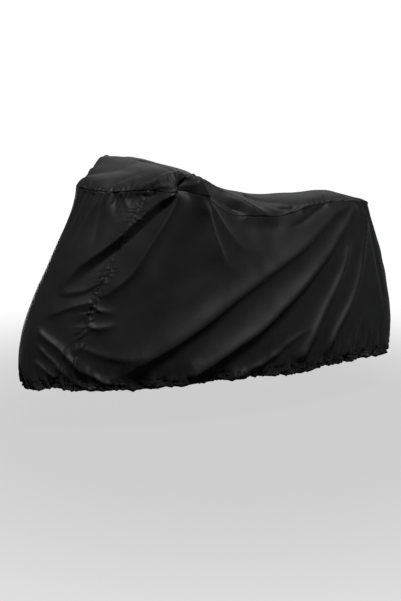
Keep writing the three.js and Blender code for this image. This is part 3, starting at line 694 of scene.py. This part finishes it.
def spaced(start, stop, step):
    """Evenly spaced values from start to stop, about a step apart."""
    return np.linspace(start, stop, int(round((stop - start) / step)) + 1)


def build_side(name, side, laps, settings):
    """A side panel, with a turned hem."""
    stations = spaced(PUCKER_SEAM - STATION_LAP, TAIL + STATION_LAP, STATION_STEP)
    levels = spaced(CAP_SEAM - LEVEL_LAP, HEM, LEVEL_STEP)
    patch = lay_patch(stations, levels, side, settings, laps)
    finish_panel(name, turn_hem(patch, settings.hem_width, settings.hem_gap), settings)


def build_front(settings):
    """The front panel, between the two puckered seams, with a turned hem."""
    stations = spaced(0.0, PUCKER_SEAM + STATION_LAP, STATION_STEP)
    levels = spaced(CAP_SEAM - LEVEL_LAP, HEM, LEVEL_STEP)
    left, right = (lay_patch(stations, levels, side, settings, ("cap", "pucker")) for side in (1, -1))
    shared = np.zeros(left.number.shape, bool)
    shared[-1] = True
    patch = drop_unused(join_patches(right, left, shared))
    finish_panel("front_panel", turn_hem(patch, settings.hem_width, settings.hem_gap), settings)


def build_cap(settings):
    """The cap, whose two sides share their vertices along the spine, the nose and the tail."""
    stations = spaced(0.0, TAIL, STATION_STEP)
    levels = spaced(0.0, CAP_SEAM + LEVEL_LAP, CAP_LEVEL_STEP)
    left, right = (lay_patch(stations, levels, side, settings) for side in (1, -1))
    shared = np.zeros(left.number.shape, bool)
    shared[[0, -1]] = True
    shared[:, 0] = True
    finish_panel("top_panel", drop_unused(join_patches(right, left, shared)), settings)


# Rows of stitches: along the cap seam and the hem on both sides, down the gathered seams and
# down the back seam. The rows round the cover start just past the nose, and those down it keep
# clear of the rows they would cross.
NOSE_START = 0.05
DOWN_FROM, DOWN_TO = 1.012, 1.985
# Columns: side, from station, to station, from level, to level.
STITCH_ROWS = (
    (1, NOSE_START, TAIL, CAP_SEAM, CAP_SEAM),
    (-1, NOSE_START, TAIL, CAP_SEAM, CAP_SEAM),
    (1, NOSE_START, TAIL, HEM, HEM),
    (-1, NOSE_START, TAIL, HEM, HEM),
    (1, PUCKER_SEAM, PUCKER_SEAM, DOWN_FROM, DOWN_TO),
    (-1, PUCKER_SEAM, PUCKER_SEAM, DOWN_FROM, DOWN_TO),
    (1, TAIL, TAIL, DOWN_FROM, DOWN_TO),
)
STITCH_SAMPLES = 4001
STITCH_SIDES = 6
# Steps in level and station that find the way the cloth faces under a stitch.
PROBE_LEVEL = 0.002
PROBE_STATION = 0.02
# A stitch fills this share of its pitch. Columns: share of its length, lift and radius, both in
# half thread widths.
STITCH_SHARE = 0.62
STITCH_PROFILE = ((0.0, -0.4, 0.6), (0.25, 0.8, 1.0), (0.75, 0.8, 1.0), (1.0, -0.4, 0.6))


def stitch_line(row, settings):
    """Places along a row of stitches, set off from its seam, with the outward normals there."""
    side, from_station, to_station, from_level, to_level = row
    station = side * np.linspace(from_station, to_station, STITCH_SAMPLES)
    level = np.linspace(from_level, to_level, STITCH_SAMPLES)
    per_station, per_level = drape_frame(station, np.minimum(level, 1.99))[3:]
    if from_level == to_level:
        level = level - (settings.hem_seam if to_level == HEM else settings.seam_offset) / per_level
    else:
        away = -1.0 if to_station == TAIL else 1.0
        station = station + side * away * settings.seam_offset / per_station
    point = cover_surface(station, level, settings)[0]
    down = cover_surface(station, level + PROBE_LEVEL, settings)[0] - point
    round_ = cover_surface(station - PROBE_STATION, level, settings)[0] - point
    normal = np.cross(round_, down)
    return point, normal / np.linalg.norm(normal, axis=1, keepdims=True)


def stitch_shapes(point, normal, settings):
    """Vertices of one row's stitches: rings of points round short lengths of the line, which dip
    into the cloth at both ends. Shape is (stitch, ring, side, xyz)."""
    length = np.concatenate([[0.0], np.cumsum(np.linalg.norm(np.diff(point, axis=0), axis=1))])
    start = np.arange(0.2, length[-1] / settings.stitch_pitch - 0.8) * settings.stitch_pitch
    share, lift, radius = np.transpose(STITCH_PROFILE)
    at = start[:, None] + share * STITCH_SHARE * settings.stitch_pitch
    centre = np.stack([np.interp(at, length, point[:, axis]) for axis in range(3)], axis=-1)
    out = np.stack([np.interp(at, length, normal[:, axis]) for axis in range(3)], axis=-1)
    along = centre[:, -1:] - centre[:, :1]
    across = np.cross(out, along)
    across /= np.linalg.norm(across, axis=-1, keepdims=True)
    turn = np.linspace(0, 2 * math.pi, STITCH_SIDES + 1)[:-1]
    thread = settings.thread_width / 2
    centre = centre + out * (thread * lift)[:, None]
    return (centre[:, :, None] + thread * radius[:, None, None]
            * (across[:, :, None] * np.cos(turn)[:, None] + out[:, :, None] * np.sin(turn)[:, None]))


def build_stitches(settings):
    """Every row of stitches as one mesh of short closed tubes."""
    shapes = np.concatenate([stitch_shapes(*stitch_line(row, settings), settings)
                             for row in STITCH_ROWS])
    count, rings, sides = shapes.shape[:3]
    number = np.arange(count * rings * sides).reshape(count, rings, sides)
    turned = np.roll(number, -1, axis=2)
    walls = np.stack([number[:, :-1], turned[:, :-1], turned[:, 1:], number[:, 1:]], axis=-1)
    faces = walls.reshape(-1, 4).tolist() + number[:, 0, ::-1].tolist() + number[:, -1].tolist()
    stitches = mesh_object("seam_stitches", shapes.reshape(-1, 3), faces)
    stitches.data.materials.append(sewing_thread(settings))
    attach(stitches, "root")


# How far apart the bands of a wave texture lie at scale 1.
WAVE_PERIOD = 0.314


def set_inputs(made, inputs):
    """Sets a shader node's sockets by name."""
    for name, value in inputs.items():
        made.inputs[name].default_value = value


def node(tree, kind, inputs=None, **values):
    """One shader node with its sockets and its settings."""
    made = tree.nodes.new(kind)
    for name, value in values.items():
        setattr(made, name, value)
    set_inputs(made, inputs or {})
    return made


def new_material(name):
    """A material with its node tree and its shader."""
    material = bpy.data.materials.new(name)
    material.use_nodes = True
    return material, material.node_tree, material.node_tree.nodes["Principled BSDF"]


def shade(colour, share):
    """A colour made darker or lighter by a share, with full alpha."""
    return (*(share * part for part in colour), 1.0)


def woven_bump(tree, thread_pitch):
    """Bump of a plain weave: threads both ways along the flat pattern."""
    pattern = node(tree, "ShaderNodeUVMap", uv_map="flat_pattern")
    weave = node(tree, "ShaderNodeMath", operation="ADD")
    for socket, direction in enumerate("XY"):
        thread = node(tree, "ShaderNodeTexWave",
                      {"Scale": WAVE_PERIOD / thread_pitch, "Distortion": 0.6, "Detail": 1.0},
                      bands_direction=direction, wave_profile="SIN")
        tree.links.new(pattern.outputs["UV"], thread.inputs["Vector"])
        tree.links.new(thread.outputs["Fac"], weave.inputs[socket])
    bump = node(tree, "ShaderNodeBump", {"Strength": 0.25, "Distance": 0.2 * MM})
    tree.links.new(weave.outputs["Value"], bump.inputs["Height"])
    return bump


def cover_cloth(settings):
    """Black coated polyester: a fine plain weave, slight blotchiness and a soft sheen."""
    found = bpy.data.materials.get("cover cloth")
    if found:
        return found
    material, tree, shader = new_material("cover cloth")
    link = tree.links.new
    place = node(tree, "ShaderNodeTexCoord")
    blotch = node(tree, "ShaderNodeTexNoise", {"Scale": 9.0, "Detail": 5.0})
    link(place.outputs["Object"], blotch.inputs["Vector"])
    tone = node(tree, "ShaderNodeValToRGB")
    for element, position, share in zip(tone.color_ramp.elements, (0.3, 0.7), (0.85, 1.15)):
        element.position = position
        element.color = shade(settings.cloth_colour, share)
    link(blotch.outputs["Fac"], tone.inputs["Fac"])
    link(tone.outputs["Color"], shader.inputs["Base Color"])
    rough = node(tree, "ShaderNodeMapRange", {"To Min": settings.cloth_roughness - 0.05,
                                              "To Max": settings.cloth_roughness + 0.05})
    link(blotch.outputs["Fac"], rough.inputs["Value"])
    link(rough.outputs["Result"], shader.inputs["Roughness"])
    creases = node(tree, "ShaderNodeTexNoise", {"Scale": 26.0, "Detail": 6.0, "Roughness": 0.62})
    link(place.outputs["Object"], creases.inputs["Vector"])
    soft = node(tree, "ShaderNodeBump", {"Strength": 0.15, "Distance": 4 * MM})
    link(creases.outputs["Fac"], soft.inputs["Height"])
    link(woven_bump(tree, settings.thread_pitch).outputs["Normal"], soft.inputs["Normal"])
    link(soft.outputs["Normal"], shader.inputs["Normal"])
    set_inputs(shader, {"Specular IOR Level": settings.cloth_gloss, "Sheen Weight": settings.cloth_sheen,
                        "Sheen Roughness": 0.5, "Sheen Tint": (0.8, 0.82, 0.85, 1.0)})
    return material


def sewing_thread(settings):
    """Black polyester thread, a little duller and lighter than the cloth, with its twist."""
    material, tree, shader = new_material("sewing thread")
    place = node(tree, "ShaderNodeTexCoord")
    twist = node(tree, "ShaderNodeTexWave", {"Scale": 900.0}, bands_direction="DIAGONAL", wave_profile="SIN")
    tree.links.new(place.outputs["Object"], twist.inputs["Vector"])
    tone = node(tree, "ShaderNodeMix", data_type="RGBA")
    tone.inputs["A"].default_value = shade(settings.thread_colour, 0.8)
    tone.inputs["B"].default_value = shade(settings.thread_colour, 1.2)
    tree.links.new(twist.outputs["Fac"], tone.inputs["Factor"])
    tree.links.new(tone.outputs["Result"], shader.inputs["Base Color"])
    set_inputs(shader, {"Roughness": 0.6, "Specular IOR Level": 0.2})
    return material


class CoverSettings(bpy.types.PropertyGroup):
    """Sizes and finish of the cover."""

    cloth_thickness: bpy.props.FloatProperty(
        name="Cloth Thickness", description="Thickness of the coated cloth", default=0.8 * MM,
        unit="LENGTH")
    fold_depth: bpy.props.FloatProperty(
        name="Fold Depth", description="Multiplies the height of every long fold", default=1.3,
        subtype="FACTOR")
    pucker_depth: bpy.props.FloatProperty(
        name="Pucker Depth", description="Height of the wrinkles across the gathered seams",
        default=8.0 * MM, unit="LENGTH")
    gather_depth: bpy.props.FloatProperty(
        name="Front Gather Depth", description="Height of the pleats under the front of the cap",
        default=4.2 * MM, unit="LENGTH")
    hem_depth: bpy.props.FloatProperty(
        name="Hem Gather Depth", description="Height of the gathers at the elastic hem",
        default=8.5 * MM, unit="LENGTH")
    hem_width: bpy.props.FloatProperty(
        name="Hem Width", description="How far the hem is turned up inside", default=20 * MM,
        unit="LENGTH")
    hem_gap: bpy.props.FloatProperty(
        name="Hem Gap", description="Thickness of the turned edge round its elastic",
        default=3.6 * MM, unit="LENGTH")
    cloth_colour: bpy.props.FloatVectorProperty(
        name="Cloth Colour", description="Colour of the polyester", default=(0.012, 0.012, 0.0128),
        subtype="COLOR", size=3)
    cloth_roughness: bpy.props.FloatProperty(
        name="Cloth Roughness", description="Dullness of the coated face", default=0.5, subtype="FACTOR")
    cloth_gloss: bpy.props.FloatProperty(
        name="Cloth Gloss", description="Strength of the coating's reflections", default=0.16,
        subtype="FACTOR")
    cloth_sheen: bpy.props.FloatProperty(
        name="Cloth Sheen", description="Strength of the soft sheen at grazing angles", default=0.06,
        subtype="FACTOR")
    stitch_pitch: bpy.props.FloatProperty(
        name="Stitch Pitch", description="Distance from one stitch to the next", default=5 * MM,
        unit="LENGTH")
    thread_width: bpy.props.FloatProperty(
        name="Thread Width", description="Thickness of the sewing thread", default=0.9 * MM, unit="LENGTH")
    thread_colour: bpy.props.FloatVectorProperty(
        name="Thread Colour", description="Colour of the sewing thread", default=(0.022, 0.022, 0.023),
        subtype="COLOR", size=3)
    seam_offset: bpy.props.FloatProperty(
        name="Seam Offset", description="Distance of the stitches from their seam", default=4 * MM,
        unit="LENGTH")
    hem_seam: bpy.props.FloatProperty(
        name="Hem Seam Height", description="Height of the hem's stitches above the edge", default=25 * MM,
        unit="LENGTH")
    thread_pitch: bpy.props.FloatProperty(
        name="Thread Pitch", description="Distance between neighbouring threads", default=0.7 * MM,
        unit="LENGTH")


class StageSettings(bpy.types.PropertyGroup):
    """The floor, lights and camera."""

    hem_clearance: bpy.props.FloatProperty(
        name="Hem Clearance", description="Height of the hem above the ground", default=0.215,
        unit="LENGTH")
    floor_bounce: bpy.props.FloatVectorProperty(
        name="Floor Bounce", description="How much of the light the floor sends back up",
        default=(0.04, 0.04, 0.04), subtype="COLOR", size=3)
    floor_reach: bpy.props.FloatProperty(
        name="Floor Reach", description="Radius of the floor", default=4.5, unit="LENGTH")
    lens: bpy.props.FloatProperty(
        name="Lens", description="Focal length of the camera in mm", default=45.76)
    camera_distance: bpy.props.FloatProperty(
        name="Camera Distance", description="How far the camera stands from the machine's line",
        default=3.6955, unit="LENGTH")
    camera_forward: bpy.props.FloatProperty(
        name="Camera Forward", default=0.116, unit="LENGTH",
        description="How far towards the nose the camera's line of sight crosses the middle")
    camera_height: bpy.props.FloatProperty(
        name="Camera Height", description="Height of the camera above the hem", default=0.953,
        unit="LENGTH")
    camera_turn: bpy.props.FloatProperty(
        name="Camera Turn", description="How far the camera stands round from the left side towards the nose",
        default=math.radians(23.2), subtype="ANGLE")
    camera_tilt: bpy.props.FloatProperty(
        name="Camera Tilt", description="How far the camera looks down", default=math.radians(9.3),
        subtype="ANGLE")
    world_light: bpy.props.FloatProperty(
        name="World Light", description="Strength of the even light all round", default=0.02)
    key_light: bpy.props.FloatProperty(
        name="Key Light", description="Power of the lamp high at the front left, in watts", default=770.0)
    soft_light: bpy.props.FloatProperty(
        name="Soft Light", description="Power of the broad lamp straight above, in watts", default=21.0)
    side_light: bpy.props.FloatProperty(
        name="Side Light", description="Power of the lamp beyond the right side, in watts", default=80.0)
    back_light: bpy.props.FloatProperty(
        name="Back Light", description="Power of the broad lamp behind, in watts", default=15.0)


class COVER_OT_top_panel(bpy.types.Operator):
    """Build the cap over the handlebars, tank, seat and tail"""

    bl_idname = "cover.top_panel"
    bl_label = "Top Panel"

    def execute(self, context):
        build_cap(context.scene.cover_settings)
        return {"FINISHED"}


class COVER_OT_front_panel(bpy.types.Operator):
    """Build the nose piece between the gathered seams"""

    bl_idname = "cover.front_panel"
    bl_label = "Front Panel"

    def execute(self, context):
        build_front(context.scene.cover_settings)
        return {"FINISHED"}


class COVER_OT_side_panels(bpy.types.Operator):
    """Build the two long side panels"""

    bl_idname = "cover.side_panels"
    bl_label = "Side Panels"

    def execute(self, context):
        build_side("left_side_panel", 1.0, ("cap",), context.scene.cover_settings)
        build_side("right_side_panel", -1.0, ("cap", "tail"), context.scene.cover_settings)
        return {"FINISHED"}


class COVER_OT_stitches(bpy.types.Operator):
    """Sew the stitches along the seams and the hem"""

    bl_idname = "cover.stitches"
    bl_label = "Stitches"

    def execute(self, context):
        build_stitches(context.scene.cover_settings)
        return {"FINISHED"}


def floor_material(settings):
    """Pale floor that shines to the camera, white at its rim and painted dimmer near the cover, a painted
    shade round it, over the soft shadow that the floor really takes."""
    material, tree, shader = new_material("pale floor")
    link = tree.links.new
    set_inputs(shader, {"Base Color": shade(settings.floor_bounce, 1.0), "Roughness": 0.9,
                        "Specular IOR Level": 0.1})
    rays = node(tree, "ShaderNodeLightPath")
    glow = node(tree, "ShaderNodeEmission", {"Strength": 1.0})
    mix = node(tree, "ShaderNodeMixShader")
    place = node(tree, "ShaderNodeTexCoord")
    distance = node(tree, "ShaderNodeVectorMath", operation="LENGTH")
    link(place.outputs["Object"], distance.inputs[0])
    # painted shade: near the cover the floor shines less to the camera, so it is drawn grey there
    fade = node(tree, "ShaderNodeMapRange",
                {"From Min": 0.9, "From Max": settings.floor_reach * 0.8, "To Min": 0.6},
                interpolation_type="SMOOTHSTEP")
    link(distance.outputs["Value"], fade.inputs["Value"])
    part = node(tree, "ShaderNodeMath", operation="MULTIPLY")
    link(fade.outputs["Result"], part.inputs[1])
    link(rays.outputs["Is Camera Ray"], part.inputs[0])
    link(part.outputs["Value"], mix.inputs["Fac"])
    link(shader.outputs["BSDF"], mix.inputs[1])
    link(glow.outputs["Emission"], mix.inputs[2])
    link(mix.outputs["Shader"], tree.nodes["Material Output"].inputs["Surface"])
    return material


def white_world(settings):
    """World: white to the camera, and a plain even light on the cloth."""
    world = bpy.data.worlds.new("white surround")
    world.use_nodes = True
    tree = world.node_tree
    rays = node(tree, "ShaderNodeLightPath")
    seen = node(tree, "ShaderNodeMapRange", {"To Min": settings.world_light, "To Max": 1.0})
    tree.links.new(rays.outputs["Is Camera Ray"], seen.inputs["Value"])
    tree.links.new(seen.outputs["Result"], tree.nodes["Background"].inputs["Strength"])
    set_inputs(tree.nodes["Background"], {"Color": (1.0, 1.0, 1.0, 1.0)})
    bpy.context.scene.world = world


# Where each lamp stands and what it is aimed at, its width and height, and the setting that says
# how strong it is. Columns: name, place, aim, size, power.
LAMPS = (
    ("key lamp", (1.4, 5.0, 7.0), (0.0, 0.0, 0.5), (2.6, 2.0), "key_light"),
    ("soft lamp", (-0.3, -0.5, 3.3), (-0.1, 0.0, 1.0), (2.6, 2.0), "soft_light"),
    ("side lamp", (1.0, -5.5, 0.45), (0.0, 0.0, 0.45), (2.6, 1.0), "side_light"),
    ("back lamp", (-1.3, -2.3, 2.6), (-0.2, 0.0, 1.0), (3.2, 1.8), "back_light"),
)
FLOOR_SIDES = 96


def area_lamp(name, place, aim, size, power):
    """A rectangular area lamp at a place, aimed at another and hidden from the camera."""
    data = bpy.data.lights.new(name, "AREA")
    data.shape = "RECTANGLE"
    data.size, data.size_y = size
    data.energy = power
    lamp = bpy.data.objects.new(name, data)
    lamp.visible_camera = False
    bpy.context.collection.objects.link(lamp)
    lamp.location = place
    lamp.rotation_euler = (Vector(aim) - Vector(place)).to_track_quat("-Z", "Y").to_euler()


def build_floor(settings):
    """A round, flat floor under the cover, as far below the hem as the ground is."""
    angle = np.linspace(0, 2 * math.pi, FLOOR_SIDES + 1)[:-1]
    rim = settings.floor_reach * np.stack([np.cos(angle), np.sin(angle)], axis=-1)
    corners = np.hstack([rim, np.full((len(rim), 1), -settings.hem_clearance)])
    floor = mesh_object("floor", corners, [list(range(len(rim)))])
    floor.data.materials.append(floor_material(settings))


def place_camera(scene, settings):
    """The camera at the front left, a little lower than the cover's top and looking slightly down."""
    data = bpy.data.cameras.new("camera")
    data.lens = settings.lens
    camera = bpy.data.objects.new("camera", data)
    scene.collection.objects.link(camera)
    turn, tilt = settings.camera_turn, settings.camera_tilt
    camera.location = (settings.camera_forward + settings.camera_distance * math.sin(turn),
                       settings.camera_distance * math.cos(turn), settings.camera_height)
    camera.rotation_euler = (math.pi / 2 - tilt, 0.0, math.pi - turn)
    scene.camera = camera


class COVER_OT_stage(bpy.types.Operator):
    """Build the floor, the lights and the camera"""

    bl_idname = "cover.stage"
    bl_label = "Stage"

    def execute(self, context):
        settings = context.scene.cover_stage
        build_floor(settings)
        white_world(settings)
        for name, place, aim, size, power in LAMPS:
            area_lamp(name, place, aim, size, getattr(settings, power))
        place_camera(context.scene, settings)
        context.scene.view_settings.view_transform = "Standard"
        return {"FINISHED"}


class COVER_PT_panel(bpy.types.Panel):
    """Lists the cover's pieces and its stage"""

    bl_idname = "COVER_PT_panel"
    bl_label = "Motorcycle Cover"
    bl_space_type = "VIEW_3D"
    bl_region_type = "UI"
    bl_category = "Cover"

    def draw(self, context):
        for operator in (COVER_OT_top_panel, COVER_OT_front_panel, COVER_OT_side_panels, COVER_OT_stitches,
                         COVER_OT_stage):
            self.layout.operator(operator.bl_idname)
        for name in CoverSettings.__annotations__:
            self.layout.prop(context.scene.cover_settings, name)
        for name in StageSettings.__annotations__:
            self.layout.prop(context.scene.cover_stage, name)


CLASSES = (CoverSettings, StageSettings, COVER_OT_top_panel, COVER_OT_front_panel, COVER_OT_side_panels,
           COVER_OT_stitches, COVER_OT_stage, COVER_PT_panel)


def register():
    """Adds the classes and the scene's settings."""
    for cls in CLASSES:
        bpy.utils.register_class(cls)
    bpy.types.Scene.cover_settings = bpy.props.PointerProperty(type=CoverSettings)
    bpy.types.Scene.cover_stage = bpy.props.PointerProperty(type=StageSettings)


def unregister():
    """Removes what register added."""
    del bpy.types.Scene.cover_stage
    del bpy.types.Scene.cover_settings
    for cls in reversed(CLASSES):
        bpy.utils.unregister_class(cls)


def main():
    """Builds every piece and the stage."""
    register()
    bpy.ops.cover.top_panel()
    bpy.ops.cover.front_panel()
    bpy.ops.cover.side_panels()
    bpy.ops.cover.stitches()
    bpy.ops.cover.stage()


if __name__ == "__main__":
    main()
